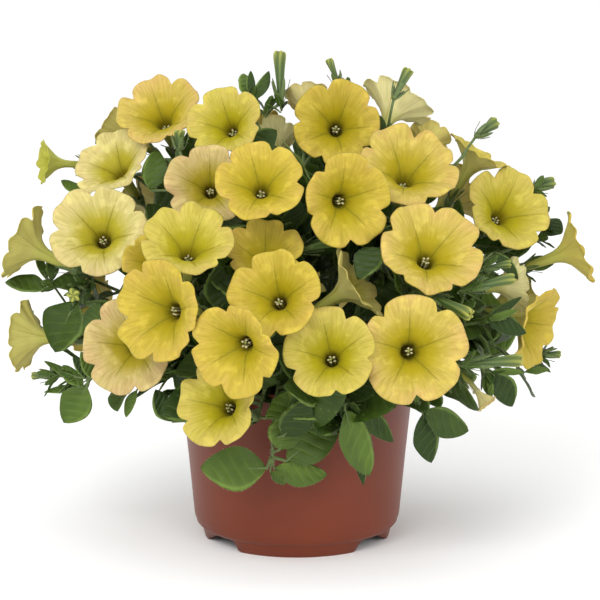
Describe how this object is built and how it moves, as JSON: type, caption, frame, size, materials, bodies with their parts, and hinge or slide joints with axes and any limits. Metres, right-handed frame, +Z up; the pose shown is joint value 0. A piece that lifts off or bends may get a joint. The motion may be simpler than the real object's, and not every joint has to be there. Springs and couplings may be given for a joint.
{
  "type": "potted petunia",
  "caption": "Petunia in full bloom, a broad dome of yellow trumpet blooms on leafy stems, in a round plastic nursery pot of soil.",
  "frame": {"origin": "middle of the whole plant's box, at the height of the surface that the pot stands on", "axes": "+Z up; -Y towards the viewer of the front; +X to that viewer's right"},
  "size_m": [0.3318, 0.2856, 0.268],
  "materials": {
    "pot": "satin moulded plastic, terracotta brown",
    "soil": "rough damp potting soil",
    "leaf": "soft, finely hairy green",
    "petal_lemon": "velvety petal, lemon",
    "petal_gold": "velvety petal, gold",
    "petal_peach": "velvety petal, peach",
    "petal_cream": "velvety petal, cream",
    "petal_beige": "velvety petal, beige",
    "petal_khaki": "velvety petal, khaki",
    "petal_lime": "velvety petal, lime"
  },
  "bodies": {
    "root": {"pot": "pot", "soil": "soil", "leafy_stem_1": "leaf", "leafy_stem_2": "leaf", "leafy_stem_3": "leaf", "leafy_stem_4": "leaf", "leafy_stem_5": "leaf", "leafy_stem_6": "leaf", "leafy_stem_7": "leaf", "leafy_stem_8": "leaf", "bloom_01": "petal_peach", "bloom_02": "petal_lemon", "bloom_03": "petal_cream", "bloom_04": "petal_cream", "bloom_05": "petal_beige", "bloom_06": "petal_gold", "bloom_07": "petal_lemon", "bloom_08": "petal_gold", "bloom_09": "petal_gold", "bloom_10": "petal_peach", "bloom_11": "petal_gold", "bloom_12": "petal_lemon", "bloom_13": "petal_peach", "bloom_14": "petal_gold", "bloom_15": "petal_gold", "bloom_16": "petal_beige", "bloom_17": "petal_gold", "bloom_18": "petal_lemon", "bloom_19": "petal_lemon", "bloom_20": "petal_peach", "bloom_21": "petal_lime", "bloom_22": "petal_lemon", "bloom_23": "petal_lemon", "bloom_24": "petal_gold", "bloom_25": "petal_gold", "bloom_26": "petal_lemon", "bloom_27": "petal_cream", "bloom_28": "petal_khaki", "bloom_29": "petal_gold", "bloom_30": "petal_khaki", "bloom_31": "petal_cream", "bloom_32": "petal_beige", "bloom_33": "petal_cream", "bloom_34": "petal_beige", "bloom_35": "petal_peach", "bloom_36": "petal_lemon", "bloom_37": "petal_gold", "bloom_38": "petal_peach", "bloom_39": "petal_lemon", "bloom_40": "petal_gold", "bloom_41": "petal_peach", "bloom_42": "petal_lemon", "bloom_43": "petal_gold", "bloom_44": "petal_cream", "bloom_45": "petal_lemon", "bloom_46": "petal_gold", "bloom_47": "petal_peach"}
  },
  "joints": []
}
